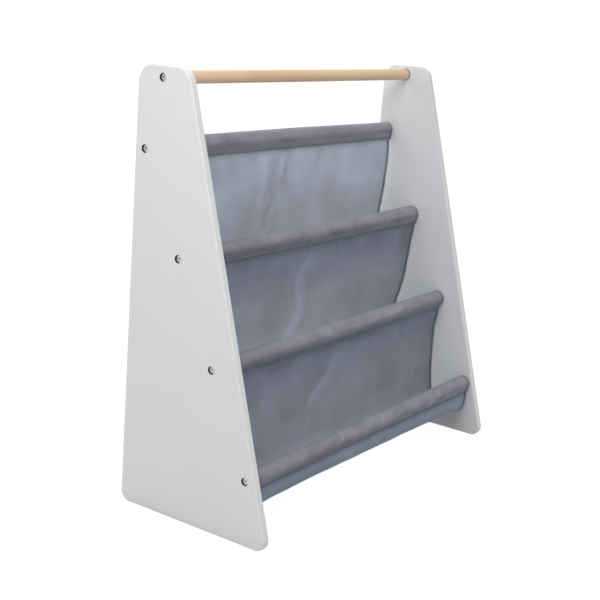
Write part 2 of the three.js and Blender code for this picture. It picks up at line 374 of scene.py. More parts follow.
def edge_rim_group():
    """A mask that is 1 on the narrow rim of an edge and fades away from it."""
    group, entry, result = new_group(
        "edge_rim", {"Width": (FLOAT, 0.002), "Wander": (FLOAT, 0.4)}, {"Mask": FLOAT},
    )
    bevel = add_node(group, "ShaderNodeBevel", {"samples": 4}, Radius=entry["Width"])
    geometry = group.nodes.new("ShaderNodeNewGeometry")
    lean = of_vectors(group, "DOT_PRODUCT", bevel.outputs[0], geometry.outputs["Normal"])
    bent = remap(group, lean, 0.995, 0.85)
    patch = noise(group, entry["Place"], 90, 3)
    gate = minus(group, 1, times(group, patch, entry["Wander"]))
    group.links.new(times(group, bent, gate), result["Mask"])
    return group


def fine_bumps_group():
    """The faint orange peel and dust of a painted surface."""
    group, entry, result = new_group(
        "fine_bumps",
        {"Size": (FLOAT, 0.002), "Strength": (FLOAT, 0.1)},
        {"Normal": VECTOR, "Height": FLOAT},
    )
    scale = calc(group, "DIVIDE", 1, entry["Size"])
    peel = noise(group, entry["Place"], scale, 2)
    coarse = noise(group, entry["Place"], times(group, scale, 0.12), 1)
    height = plus(group, peel, times(group, coarse, 2))
    normal = bumped(group, height, entry["Strength"], 0.1 * mm)
    group.links.new(normal, result["Normal"])
    group.links.new(height, result["Height"])
    return group


def cloth_weave_group():
    """A plain weave: threads that pass over and under each other, with thick and thin stretches."""
    group, entry, result = new_group(
        "cloth_weave",
        {"Pitch": (FLOAT, 0.0005), "Slub": (FLOAT, 0.3)},
        {"Height": FLOAT, "Shade": FLOAT},
    )
    split = add_node(group, "ShaderNodeSeparateXYZ", None, Vector=entry["Place"])
    rate = calc(group, "DIVIDE", math.pi, entry["Pitch"])
    slub_across = stretched_noise(group, entry["Place"], (60, 900, 1), 2)
    slub_along = stretched_noise(group, entry["Place"], (900, 60, 1), 2)
    waves = [calc(group, "SINE", times(group, split.outputs[axis], rate)) for axis in ("X", "Y")]
    over = calc(group, "GREATER_THAN", times(group, *waves), 0)
    across, along = (calc(group, "ABSOLUTE", wave) for wave in waves)
    plain = plus(
        group, times(group, across, over), times(group, along, minus(group, 1, over)),
    )
    slubs = minus(group, plus(group, slub_across, slub_along), 1)
    shade = times(group, slubs, entry["Slub"])
    group.links.new(plus(group, plain, shade), result["Height"])
    group.links.new(shade, result["Shade"])
    return group


def wood_grain_group():
    """Long fibres and pores of a turned bar that lies along X."""
    group, entry, result = new_group(
        "wood_grain",
        {"Light": (COLOR, None), "Dark": (COLOR, None)},
        {"Color": COLOR, "Height": FLOAT},
    )
    bent = stretched_noise(group, entry["Place"], (5, 30, 30), 1)
    fibre = stretched_noise(group, entry["Place"], (14, 420, 420), 4)
    rings = stretched_noise(group, entry["Place"], (3, 130, 130), 2)
    pores = stretched_noise(group, entry["Place"], (90, 1600, 1600), 2)
    bands = plus(group, times(group, rings, 0.6), times(group, fibre, 0.4))
    bands = plus(group, bands, times(group, minus(group, bent, 0.5), 0.5))
    body = blend_colors(group, remap(group, bands, 0.35, 0.68), entry["Light"], entry["Dark"])
    specks = remap(group, pores, 0.62, 0.75)
    marked = blend_colors(group, times(group, specks, 0.35), body, entry["Dark"])
    group.links.new(marked, result["Color"])
    group.links.new(minus(group, fibre, specks), result["Height"])
    return group


def round_hole_group():
    """A mask that is 1 within a reach of an axis along X and 0 outside it."""
    group, entry, result = new_group(
        "round_hole", {"Middle": (VECTOR, None), "Reach": (FLOAT, 0.005)}, {"Mask": FLOAT},
    )
    sideways = of_vectors(group, "MULTIPLY", entry["Place"], (0, 1, 1))
    away = of_vectors(group, "DISTANCE", sideways, entry["Middle"])
    beyond = minus(group, away, entry["Reach"])
    group.links.new(remap(group, beyond, 0.1 * mm, 0), result["Mask"])
    return group


def thin_mark_group():
    """A mask for a short straight mark, seen from the front: 1 on its line, 0 at its reach."""
    group, entry, result = new_group(
        "thin_mark",
        {"Start": (VECTOR, None), "Run": (VECTOR, None), "Reach": (FLOAT, 0.001)},
        {"Mask": FLOAT},
    )
    flat = of_vectors(group, "MULTIPLY", entry["Place"], (1, 0, 1))
    apart = of_vectors(group, "SUBTRACT", flat, entry["Start"])
    along = of_vectors(group, "DOT_PRODUCT", apart, entry["Run"])
    whole = of_vectors(group, "DOT_PRODUCT", entry["Run"], entry["Run"])
    share = calc(group, "MAXIMUM", calc(group, "DIVIDE", along, whole), 0)
    nearest = scaled(group, entry["Run"], calc(group, "MINIMUM", share, 1))
    away = of_vectors(group, "DISTANCE", apart, nearest)
    group.links.new(remap(group, away, entry["Reach"], 0), result["Mask"])
    return group


tone_drift = tone_drift_group()
edge_rim = edge_rim_group()
fine_bumps = fine_bumps_group()
cloth_weave = cloth_weave_group()
wood_grain = wood_grain_group()
round_hole = round_hole_group()
thin_mark = thin_mark_group()


# Finishes
paint_color = (0.816, 0.826, 0.832, 1)
# The paler colour of the rounded edges is a painted highlight, broken up in patches
edge_highlight_color = (0.93, 0.93, 0.925, 1)
# Near-black painted shade inside the bolt bores, and at a share of it inside the handle's sockets
hole_shade_colors = [(0.028, 0.027, 0.025, 1), (0.055, 0.053, 0.05, 1)]
socket_shade_share = 0.75
wood_colors = {"Light": (0.87, 0.652, 0.435, 1), "Dark": (0.775, 0.54, 0.333, 1)}
# The dark colour of the ring round each end of the handle is painted shadow
joint_shadow_color = (0.09, 0.065, 0.05, 1)
thread_colors = [(0.13, 0.132, 0.155, 1), (0.21, 0.213, 0.25, 1)]

# A painted shadow ring round each end of the handle, where it enters the board: how far from
# the board it starts and is full, and how strong it is
joint_shadow_from = 1.9 * mm
joint_shadow_full = 0.7 * mm
joint_shadow_share = 0.8

# How much painted light and shade of 1 changes the cloth's tone, how far the cloth's painted
# shade takes it to its shaded colour, and what share of the plain colour that is
shading_step = 0.2
dark_share = 0.8
shade_color_share = 0.45

# Small pale marks on the cloth, each from one place to another, across and up in millimetres.
# The first two on the slings run along the crest of a crease in the middle sling: a painted highlight.
sleeve_marks = [
    ((22, 98), (13, 88)), ((-90, 99), (-99, 89)), ((-131, 369), (-127, 368)), ((-1, 369), (3, 367)),
]
sling_marks = [((-8, 336), (-11, 328)), ((-11, 328), (-19, 319)), ((-198, 202), (-94, 198))]
mark_reach = 1.3 * mm
mark_share = 0.95


def new_finish(name, settings):
    """A material with a principled shader whose plain numbers are set on its own sockets."""
    finish = bpy.data.materials.new(name)
    finish.use_nodes = True
    tree = finish.node_tree
    shader = tree.nodes["Principled BSDF"]
    for label, value in settings.items():
        shader.inputs[label].default_value = value
    place = tree.nodes.new("ShaderNodeTexCoord").outputs
    return finish, tree, shader, place


def white_paint():
    """Satin white paint, paler on its rounded edges as a painted highlight, with near-black painted
    shade inside the bolt bores and the handle's sockets.
    """
    finish, tree, shader, place = new_finish("white_paint", {"Specular IOR Level": 0.4})
    here = place["Object"]
    tone = use_group(tree, tone_drift, Place=here, Color=paint_color, Size=0.16, Amount=0.05)
    rim = use_group(tree, edge_rim, Place=here, Width=1.4 * mm, Wander=0.5)
    # Painted highlight: paler on the rounded edges
    painted = blend_colors(tree, times(tree, rim["Mask"], 0.4), tone["Color"], edge_highlight_color)
    spot, parts = place_in_rack(tree)
    side = calc(tree, "ABSOLUTE", parts["X"])
    inside = calc(tree, "LESS_THAN", side, inner_face + socket_depth)
    bores = 0
    for middle in (handle, *rods):
        hole = use_group(tree, round_hole, Place=spot, Middle=(0, *middle), Reach=bore_reach)
        bores = calc(tree, "MAXIMUM", hole["Mask"], bores)
    bores = times(tree, bores, minus(tree, 1, inside))
    socket = use_group(tree, round_hole, Place=spot, Middle=(0, *handle), Reach=socket_reach)
    sockets = times(tree, times(tree, socket["Mask"], inside), socket_shade_share)
    # Painted shade: near-black inside the bores and sockets, which are rougher too
    bare = calc(tree, "MAXIMUM", bores, sockets)
    hole_shade = blend_colors(tree, noise(tree, here, 1500, 2), *hole_shade_colors)
    bumps = use_group(tree, fine_bumps, Place=here, Size=2.2 * mm, Strength=0.16)
    satin = remap(tree, bumps["Height"], 0.6, 2.2, 0.42, 0.54)
    connect(
        tree, shader,
        Base_Color=blend_colors(tree, bare, painted, hole_shade),
        Roughness=calc(tree, "MAXIMUM", satin, times(tree, bare, 0.9)),
        Normal=bumps["Normal"],
    )
    return finish


def bare_wood():
    """Sanded pale wood without varnish, with a painted shadow ring where it enters the boards."""
    finish, tree, shader, place = new_finish("bare_wood", {"Specular IOR Level": 0.3})
    here = place["Object"]
    grain = use_group(tree, wood_grain, Place=here, **wood_colors)
    drifted = use_group(tree, tone_drift, Place=here, Color=grain["Color"], Size=0.12, Amount=0.14)
    side = calc(tree, "ABSOLUTE", place_in_rack(tree)[1]["X"])
    # Painted shadow on the bar where it enters the board
    ring = remap(tree, side, inner_face - joint_shadow_from, inner_face - joint_shadow_full, 0, joint_shadow_share)
    connect(
        tree, shader,
        Base_Color=blend_colors(tree, ring, drifted["Color"], joint_shadow_color),
        Roughness=remap(tree, grain["Height"], -0.4, 0.8, 0.66, 0.52),
        Normal=bumped(tree, grain["Height"], 0.35, 0.15 * mm),
    )
    return finish


def pale_marks(tree, place, marks):
    """A mask of short pale lines."""
    pale_lines = 0
    for ends in marks:
        start, end = (Vector((across * mm, 0, up * mm)) for across, up in ends)
        mark = use_group(
            tree, thin_mark, Place=place, Start=start, Run=end - start, Reach=mark_reach,
        )
        pale_lines = calc(tree, "MAXIMUM", mark["Mask"], pale_lines)
    return times(tree, pale_lines, mark_share)


def cloth_finish(name, color, pale, glow, pitch, mottle, see_through, sheen, marks):
    """Woven cloth that lets some light through, made paler or darker by the painted light and
    shade that the sheet carries."""
    finish, tree, shader, place = new_finish(name, {
        "Roughness": 0.92, "Specular IOR Level": 0.12, "Sheen Weight": sheen, "Sheen Roughness": 0.5,
    })
    here = place["Object"]
    weave = use_group(tree, cloth_weave, Place=place["UV"], Pitch=pitch, Slub=0.35)
    threads = remap(tree, weave["Shade"], -0.12, 0.12)
    # Painted light and shade carried by the sheet: paler or darker, and shaded towards a darker colour
    painted_light_shade, dark = (
        add_node(tree, "ShaderNodeAttribute", {"attribute_name": label}).outputs["Fac"]
        for label in ("painted_light_shade", "dark")
    )
    shading_factor = plus(tree, 1, times(tree, painted_light_shade, shading_step))
    darkened = times(tree, dark, dark_share)
    shade_color = (*(shade_color_share * part for part in color[:3]), 1)

    drifted = use_group(tree, tone_drift, Place=here, Color=color, **mottle)["Color"]
    threaded = blend_colors(tree, times(tree, threads, 0.22), drifted, pale)
    marked = blend_colors(tree, pale_marks(tree, here, marks), threaded, pale)
    surface = blend_colors(tree, darkened, scaled(tree, marked, shading_factor), shade_color)
    normal = bumped(tree, weave["Height"], 0.5, 0.12 * mm)
    connect(tree, shader, Base_Color=surface, Normal=normal)

    cloudy = use_group(tree, tone_drift, Place=here, Color=glow, **mottle)["Color"]
    lit = blend_colors(tree, times(tree, threads, 0.2), scaled(tree, cloudy, shading_factor), surface)
    lit = blend_colors(tree, darkened, lit, shade_color)
    through = add_node(tree, "ShaderNodeBsdfTranslucent", None, Color=lit, Normal=normal)
    show_both(tree, "ShaderNodeMixShader", shader, through, Fac=see_through)
    return finish


def sewing_thread():
    finish, tree, shader, place = new_finish("sewing_thread", {"Roughness": 0.7, "Sheen Weight": 0.2})
    twist = stretched_noise(tree, place["Object"], (1800, 1800, 1800), 1)
    connect(tree, shader, Base_Color=blend_colors(tree, twist, *thread_colors))
    return finish


def metal_finish(name, color, dark, roughness):
    """Plated or turned metal with fine marks round its axis."""
    finish, tree, shader, place = new_finish(name, {"Metallic": 1})
    marks = stretched_noise(tree, place["Object"], (3000, 500, 500), 3)
    stain = remap(tree, noise(tree, place["Object"], 600, 2), 0.4, 0.7)
    connect(
        tree, shader,
        Base_Color=blend_colors(tree, stain, color, dark),
        Roughness=remap(tree, marks, 0.3, 0.7, roughness - 0.06, roughness + 0.1),
        Normal=bumped(tree, marks, 0.2, 0.05 * mm),
    )
    return finish


finishes = {
    "painted_board": white_paint(),
    "bare_wood": bare_wood(),
    "sling_cloth": cloth_finish(
        "sling_cloth", color=(0.260, 0.292, 0.366, 1), pale=(0.42, 0.45, 0.52, 1),
        glow=(0.76, 0.785, 0.825, 1), pitch=0.5 * mm, mottle={"Size": 0.055, "Amount": 0.3},
        see_through=0.5, sheen=0.2, marks=sling_marks,
    ),
    "sleeve_cloth": cloth_finish(
        "sleeve_cloth", color=(0.322, 0.327, 0.396, 1), pale=(0.56, 0.56, 0.59, 1),
        glow=(0.5, 0.5, 0.53, 1), pitch=0.55 * mm, mottle={"Size": 0.03, "Amount": 0.35},
        see_through=0.1, sheen=0.0, marks=sleeve_marks,
    ),
    "thread": sewing_thread(),
    "bolt_steel": metal_finish("zinc_plate", (0.62, 0.62, 0.61, 1), (0.42, 0.42, 0.42, 1), 0.34),
    "insert_brass": metal_finish("turned_brass", (0.70, 0.56, 0.30, 1), (0.50, 0.38, 0.19, 1), 0.36),
}


# Floor and surroundings
def lift_mask(tree):
    """1 for what the camera sees straight, in metal or through cloth, 0 for light that bounces."""
    seen = tree.nodes.new("ShaderNodeLightPath").outputs
    mirrored = calc(tree, "MAXIMUM", seen["Is Glossy Ray"], seen["Is Transmission Ray"])
    return calc(tree, "MAXIMUM", seen["Is Camera Ray"], mirrored)


def add_floor():
    corners = [(-1, -1), (1, -1), (1, 1), (-1, 1)]
    mesh = bpy.data.meshes.new("floor")
    mesh.from_pydata(
        [(x * floor_reach, y * floor_reach, -floor_drop) for x, y in corners], [], [(0, 1, 2, 3)],
    )
    finish = bpy.data.materials.new("pale_floor")
    finish.use_nodes = True
    tree = finish.node_tree
    tree.nodes.remove(tree.nodes["Principled BSDF"])
    seen = lift_mask(tree)
    parts = place_in_rack(tree)[1]
    across = remap(tree, calc(tree, "ABSOLUTE", parts["X"]), *shaded_across, 1, 0)
    deep = remap(tree, calc(tree, "ABSOLUTE", parts["Y"]), *shaded_depth, 1, 0)
    returned = blend_colors(tree, times(tree, across, deep), gray(floor_tone), gray(shaded_tone))
    color = blend_colors(tree, seen, returned, gray(floor_seen_tone))
    matt = add_node(tree, "ShaderNodeBsdfDiffuse", None, Color=color)
    lift = times(tree, seen, floor_lift)
    glow = add_node(tree, "ShaderNodeEmission", None, Color=gray(1), Strength=lift)
    show_both(tree, "ShaderNodeAddShader", matt, glow)
    mesh.materials.append(finish)
    link(bpy.data.objects.new("floor", mesh))


def add_surroundings():
    """Light from all round, brighter from some sides, that the camera sees as plain white."""
    world = bpy.data.worlds.new("surroundings")
    world.use_nodes = True
    tree = world.node_tree
    toward = tree.nodes.new("ShaderNodeTexCoord").outputs["Generated"]
    light = room_glow
    for side, strength in room_lobes:
        facing = calc(tree, "MAXIMUM", of_vectors(tree, "DOT_PRODUCT", toward, side), 0)
        light = plus(tree, times(tree, facing, strength), light)
    lifted = out(add_node(
        tree, "ShaderNodeMix", {"data_type": "FLOAT"}, Factor=lift_mask(tree), A=light, B=1.0,
    ))
    connect(tree, tree.nodes["Background"], Color=gray(1), Strength=lifted)
    bpy.context.scene.world = world


# Shells of cloth
rim_share = 0.4


def border_of(rows, columns):
    """The indices of a grid's border points, once round."""
    grid = np.arange(rows * columns).reshape(rows, columns)
    return np.concatenate((grid[0, :-1], grid[:-1, -1], grid[-1, :0:-1], grid[:0:-1, 0]))


def normals_of(grid):
    """Unit normals of a grid of points, rows running along the cloth and columns along X."""
    along = np.gradient(grid, axis=0)
    across = np.gradient(grid, axis=1)
    normal = np.cross(across, along)
    return normal / np.linalg.norm(normal, axis=2, keepdims=True)


def lengths_along(line):
    steps = np.linalg.norm(np.diff(line, axis=0), axis=1)
    return np.concatenate(([0], np.cumsum(steps)))


def points_at(places, travel, line):
    """The points of a line at places along it, given how far along each of its own points is."""
    return np.stack([np.interp(places, travel, part) for part in line.T], axis=1)


def cloth_shell(name, grid, thickness, painted_light_shade, dark, finish):
    """A closed sheet round the middle surface in grid, with a blunt rim on all its edges."""
    rows, columns = grid.shape[:2]
    count = rows * columns
    reach = normals_of(grid) * thickness[..., None] / 2
    faces = np.stack((grid + reach, grid - reach)).reshape(-1, 3)
    border = border_of(rows, columns)
    toward = np.zeros((rows, columns, 3))
    toward[0] += grid[0] - grid[1]
    toward[-1] += grid[-1] - grid[-2]
    toward[:, 0] += grid[:, 0] - grid[:, 1]
    toward[:, -1] += grid[:, -1] - grid[:, -2]
    outward = toward.reshape(-1, 3)[border]
    outward /= np.linalg.norm(outward, axis=1, keepdims=True)
    stand_out = rim_share * thickness.reshape(-1)[border][:, None]
    rim = grid.reshape(-1, 3)[border] + outward * stand_out
    points = np.vstack((faces, rim))
    index = np.arange(count).reshape(rows, columns)
    quads = np.stack(
        (index[:-1, :-1], index[:-1, 1:], index[1:, 1:], index[1:, :-1]), axis=2,
    ).reshape(-1, 4)
    following = np.roll(border, -1)
    ring = 2 * count + np.arange(len(border))
    next_ring = np.roll(ring, -1)
    strips = [
        np.stack((border, ring, next_ring, following), axis=1),
        np.stack((ring, border + count, following + count, next_ring), axis=1),
    ]
    polygons = np.vstack((quads, quads[:, ::-1] + count, *strips))
    mesh = bpy.data.meshes.new(name)
    mesh.from_pydata(points.tolist(), [], polygons.tolist())
    mesh.shade_smooth()
    down = np.repeat(lengths_along(grid[:, columns // 2])[:, None], columns, axis=1)
    spread = np.stack((grid[..., 0], down), axis=2).reshape(-1, 2)
    spread = np.vstack((spread, spread, spread[border]))
    corners = np.empty(len(mesh.loops), dtype=np.int32)
    mesh.loops.foreach_get("vertex_index", corners)
    mesh.uv_layers.new(name="UVMap").data.foreach_set("uv", spread[corners].reshape(-1))
    for label, values in (("painted_light_shade", painted_light_shade), ("dark", dark)):
        once = values.reshape(-1)
        attribute = mesh.attributes.new(label, "FLOAT", "POINT")
        attribute.data.foreach_set("value", np.concatenate((once, once, once[border])))
    mesh.materials.append(finish)
    return link(bpy.data.objects.new(name, mesh))


def hang_sheet(node, slot, grid, thickness, painted_light_shade, dark):
    """A sheet of cloth in the place of the model's plain one."""
    sheet = cloth_shell(f"{node}_cloth", grid, thickness, painted_light_shade, dark, finishes[slot])
    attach(sheet, "root")
    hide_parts(node)
    return sheet


# Columns of a sheet across its width: close together at the hems, even between them
hem_rim_places = np.array([0, 0.2, 0.5, 0.9, 1.5]) * mm
hem_step_places = np.array([-1.5, -0.4, 0, 0.4, 0.9, 1.6]) * mm
hem_step = 0.3 * mm


def sheet_columns(half_width, hem, pitch):
    edge = np.concatenate((hem_rim_places, hem + hem_step_places))
    between = 2 * (half_width - edge[-1])
    even = np.linspace(edge[-1] - half_width, half_width - edge[-1], int(between / pitch) + 1)
    return np.concatenate((edge - half_width, even[1:-1], (half_width - edge)[::-1]))


def hem_mask(x, half_width, hem):
    return smooth_step(abs(x), half_width - hem - hem_step, half_width - hem + hem_step)


def seam_forward(rod):
    return seam_forward_shares[rod] * 2 * rod_radius


def sheets_at(rod):
    return 1 if rod in (0, rod_count - 1) else 2


def tube_faces(ring_count, sides, base=0):
    """The faces round a stack of rings of points, and those that close its two ends."""
    faces = [tuple(reversed(range(base, base + sides)))]
    for start in range(base, base + (ring_count - 1) * sides, sides):
        for side in range(sides):
            here = start + side
            after = start + (side + 1) % sides
            faces.append((here, after, after + sides, here + sides))
    last = base + (ring_count - 1) * sides
    faces.append(tuple(range(last, last + sides)))
    return faces


# Stitches: rings along each thread, as shares of half its length, how blunt its ends are, and how
# far it stands out in its middle and dips to its ends, as shares of its width
stitch_pitch = 3.2 * mm
stitch_length = 2.5 * mm
stitch_width = 0.55 * mm
stitch_sides = 6
stitch_ring_shares = [-1, -0.85, -0.4, 0.4, 0.85, 1]
stitch_blunt_share = 0.04
stitch_rise_share = 0.15
stitch_dip_share = 0.3


def stitch_row(name, line, outward):
    """Short threads along a line on the cloth, each one pressed into it at both ends."""
    travel = lengths_along(line)
    middles = np.arange(stitch_pitch, travel[-1] - stitch_pitch / 2, stitch_pitch)
    angles = np.arange(stitch_sides) * 2 * math.pi / stitch_sides
    starts = points_at(middles - stitch_length / 2, travel, line)
    stops = points_at(middles + stitch_length / 2, travel, line)
    rises = points_at(middles, travel, outward)
    points = []
    polygons = []
    for start, stop, rise in zip(starts, stops, rises):
        ahead = (stop - start) / 2
        side = np.cross(rise, ahead)
        side /= np.linalg.norm(side)
        polygons += tube_faces(len(stitch_ring_shares), stitch_sides, len(points))
        for share in stitch_ring_shares:
            radius = math.sqrt(max(1 - share ** 4, stitch_blunt_share)) * stitch_width / 2
            lift = stitch_width * (stitch_rise_share - stitch_dip_share * share ** 2)
            middle = (start + stop) / 2 + ahead * share + rise * lift
            for angle in angles:
                points.append(middle + radius * (side * math.cos(angle) + rise * math.sin(angle)))
    mesh = bpy.data.meshes.new(name)
    mesh.from_pydata([tuple(point) for point in points], [], polygons)
    mesh.shade_smooth()
    mesh.materials.append(finishes["thread"])
    row = link(bpy.data.objects.new(name, mesh))
    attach(row, "root")
    return row


# Sleeves: their rows along a lip, from a lip to the loop and round the loop, the waves in the
# edges of the lips, and how far the loop draws in at its two mouths
sleeve_pitch = 2.6 * mm
sleeve_hem = 7 * mm
lip_rows = 5
fall_rows = 6
loop_rows = 44
lip_waves = [(9 * mm,), (16 * mm,), (37 * mm,), (90 * mm,)]
lip_wave_height = 0.4 * mm
mouth_drop = 0.8 * mm
mouth_reach = 1.2 * mm

# Dents: how far below the rod's axis each one lies, its length and its breadth, between two
# limits in millimetres, the most that it leans, how much painted light and shade it gets, paler
# where it stands out and darker where it sinks, and how far above the end of the lip they start
# to fade and end
dent_count = 60
dent_height = 0.65 * mm
dent_ranges = [(-9, 11), (6, 26), (2.4, 7)]
dent_lean = 0.35
dent_shading = 0.6
calm_reaches = (4 * mm, 1 * mm)

# A tuck that is pinched into the front of one sleeve: its place, lean, reach and depth, and
# where below the rod's axis it starts and is full
pinched_rod = 1
pinch_across = -27 * mm
pinch_below = 10 * mm
pinch_lean = 0.3
pinch_reach = 3.4 * mm
pinch_depth = 1.3 * mm
pinch_starts = (1 * mm, 9 * mm)

# The hem's line: its reach, and how the cloth thickens in the hem and thins on the line
hem_line_reach = 0.6 * mm
hem_thickening = 0.5
hem_line_thinning = 0.35

# Painted shade on a sleeve, from 0 to 1: on its hem's lines, at its ends, at its seam, below the
# rod and lower still, and towards its left end from a place across
hem_line_tone = 0.5
end_tone = 0.9
end_reaches = (4 * mm, 1 * mm)
seam_rows = 3
under_starts = (-4 * mm, 2.5 * mm)
lowest_starts = (5 * mm, 10 * mm)
left_full = 0.2
sleeve_tones = [
    {"seam": 0.35, "under": 0.34, "lowest": 0, "left": 0, "left_from": 0.05},
    {"seam": 0.35, "under": 0.34, "lowest": -0.04, "left": 0.25, "left_from": 0.05},
    {"seam": 0.2, "under": 0.3, "lowest": -0.08, "left": 0.25, "left_from": 0.05},
    {"seam": 0.2, "under": 0.1, "lowest": -0.12, "left": 0.3, "left_from": -0.1},
]


def run_of(values, x):
    """Values in millimetres at a sleeve's left end, middle and right end, eased in between."""
    left, middle, right = (value * mm for value in values)
    outer = np.sin(math.pi / 2 * np.clip(x / sleeve_half_width, -1, 1)) ** 2
    return middle + (np.where(x < 0, left, right) - middle) * outer


def between(first, last, count):
    """Rows in between two others, without those themselves."""
    shares = np.linspace(0, 1, count)[1:-1]
    return [tuple((1 - share) * a + share * b for a, b in zip(first, last)) for share in shares]


def sleeve_grid(rod, x):
    """The middle surface of a sleeve, from its front lip over the rod to its back lip."""
    strays = sleeve_strays[rod]
    top = rod_radius + seat_gap + cloth_thickness / 2 + run_of(strays["rise"], x)
    top -= mouth_drop * smooth_step(abs(x), sleeve_half_width - mouth_reach, sleeve_half_width)
    radius = (top + loop_depth) / 2
    centre = (top - loop_depth) / 2
    lip_offset = (sheets_at(rod) + 1) * sheet_step / 2
    forward = seam_forward(rod) + run_of(strays["slip"], x)
    front_end = lip_ends[rod] + run_of(strays["lower"], x)
    back_end = back_lip_drop + lip_length
    lips = []
    for side, end in ((-1, front_end), (1, back_end)):
        end = end + lip_wave_height * ripple(rod + lip_seed, lip_waves, x)
        place = side * lip_offset - forward
        start = end - lip_length
        away = np.hypot(place, -start - centre)
        toward = np.arctan2(-start - centre, place) + side * np.arccos(np.minimum(radius / away, 1))
        lips.append({"place": place, "start": start, "end": end, "angle": toward})
    front, back = lips
    sweep = back["angle"] - front["angle"] - 2 * math.pi
    loop = []
    for share in np.linspace(0, 1, loop_rows):
        angle = front["angle"] + sweep * share
        loop.append((radius * np.cos(angle), centre + radius * np.sin(angle)))
    steps = np.linspace(0, lip_length, lip_rows)
    front_rows = [(front["place"], -front["end"] + step) for step in steps]
    back_rows = [(back["place"], -back["start"] - step) for step in steps]
    rows = [
        *front_rows, *between(front_rows[-1], loop[0], fall_rows), *loop,
        *between(loop[-1], back_rows[0], fall_rows), *back_rows,
    ]
    grid = np.array([np.stack((x, y, z), axis=1) for y, z in rows])
    grid[..., 1:] += rods[rod]
    return grid


def scattered_dents(seed, x, below):
    """Soft dents and swellings that lie along or aslant over the cloth, at random."""
    draw = np.random.RandomState(seed)
    total = np.zeros_like(x)
    for _ in range(dent_count):
        place = draw.uniform(-sleeve_half_width, sleeve_half_width)
        depth, length, breadth = (draw.uniform(*limits) * mm for limits in dent_ranges)
        lean = draw.uniform(-dent_lean, dent_lean)
        along = (x - place) / length
        around = (below - depth - lean * (x - place)) / breadth
        total += draw.uniform(-1, 1) * bell(along) * bell(around)
    return total


def sleeve_dents(rod, grid):
    """How far the cloth stands out over the rod, fading to nothing above the seam."""
    below = rods[rod][1] - grid[..., 2]
    start, full = (lip_ends[rod] - reach for reach in calm_reaches)
    near_seam = smooth_step(below, start, full)
    height = dent_height * scattered_dents(rod + dent_seed, grid[..., 0], below)
    if rod == pinched_rod:
        away = grid[..., 0] - pinch_across + pinch_lean * (below - pinch_below)
        pinch = bell(away / pinch_reach) * smooth_step(below, *pinch_starts)
        height = height - pinch_depth * pinch
    return height * (1 - near_seam)


def sleeve_darkness(rod, grid, hem_line):
    """The painted shade on a sleeve from place to place, from 0 to 1."""
    tones = sleeve_tones[rod]
    below = rods[rod][1] - grid[..., 2]
    row = np.arange(len(grid))[:, None]
    near_seam = bell(np.minimum(row, len(grid) - 1 - row) / seam_rows)
    start, full = (sleeve_half_width - reach for reach in end_reaches)
    dark = hem_line_tone * hem_line + end_tone * smooth_step(abs(grid[..., 0]), start, full)
    dark += tones["seam"] * near_seam
    dark += tones["under"] * smooth_step(below, *under_starts)
    dark += tones["lowest"] * smooth_step(below, *lowest_starts)
    dark += tones["left"] * smooth_step(-grid[..., 0], tones["left_from"], left_full)
    return np.clip(dark, 0, 1)


def add_sleeve(rod):
    name = f"sleeve_{rod + 1}"
    x = sheet_columns(sleeve_half_width, sleeve_hem, sleeve_pitch)
    grid = sleeve_grid(rod, x)
    dents = sleeve_dents(rod, grid)
    grid += normals_of(grid) * dents[..., None]
    # Painted light and shade: paler where the cloth stands out, darker in its dents
    painted_light_shade = np.clip(dent_shading * dents / dent_height, -1, 1)
    hem = hem_mask(grid[..., 0], sleeve_half_width, sleeve_hem)
    hem_line = bell((abs(grid[..., 0]) - sleeve_half_width + sleeve_hem) / hem_line_reach)
    thickness = cloth_thickness * (1 + hem_thickening * hem - hem_line_thinning * hem_line)
    # Painted shade
    dark = sleeve_darkness(rod, grid, hem_line)
    sleeve = hang_sheet(name, "sleeve_cloth", grid, thickness, painted_light_shade, dark)
    outward = normals_of(grid)
    for label, row in (("front", lip_rows - 2), ("back", -lip_rows + 1)):
        line = grid[row] + outward[row] * cloth_thickness / 2
        stitch_row(f"{name}_{label}_stitches", line, outward[row])


# Slings: their rows between the seams and in each seam, the steps of a curve from one of its
# points to the next, and their hems, whose stitches leave out the last rows at both ends
sling_pitch = 2.4 * mm
sling_rows = 120
tuck_rows = 3
curve_steps = 60
sling_hem = 7 * mm
sling_hem_thickening = 0.8
hem_stitch_inset = 1 * mm
hem_stitch_ends = 4


def smooth_curve(points, count):
    """Evenly spaced places on a centripetal curve through the points."""
    points = np.asarray(points, dtype=float)
    knots = np.vstack((2 * points[0] - points[1], points, 2 * points[-1] - points[-2]))
    finely = []
    share = np.linspace(0, 1, curve_steps, endpoint=False)[:, None]
    for a, b, c, d in zip(knots, knots[1:], knots[2:], knots[3:]):
        first, second, third = (math.sqrt(np.linalg.norm(q - p)) for p, q in ((a, b), (b, c), (c, d)))
        leave = ((b - a) / first - (c - a) / (first + second) + (c - b) / second) * second
        arrive = ((c - b) / second - (d - b) / (second + third) + (d - c) / third) * second
        finely.append(
            (2 * share ** 3 - 3 * share ** 2 + 1) * b + (share ** 3 - 2 * share ** 2 + share) * leave
            + (3 * share ** 2 - 2 * share ** 3) * c + (share ** 3 - share ** 2) * arrive
        )
    line = np.vstack((*finely, points[-1:]))
    travel = lengths_along(line)
    return points_at(np.linspace(0, travel[-1], count), travel, line)


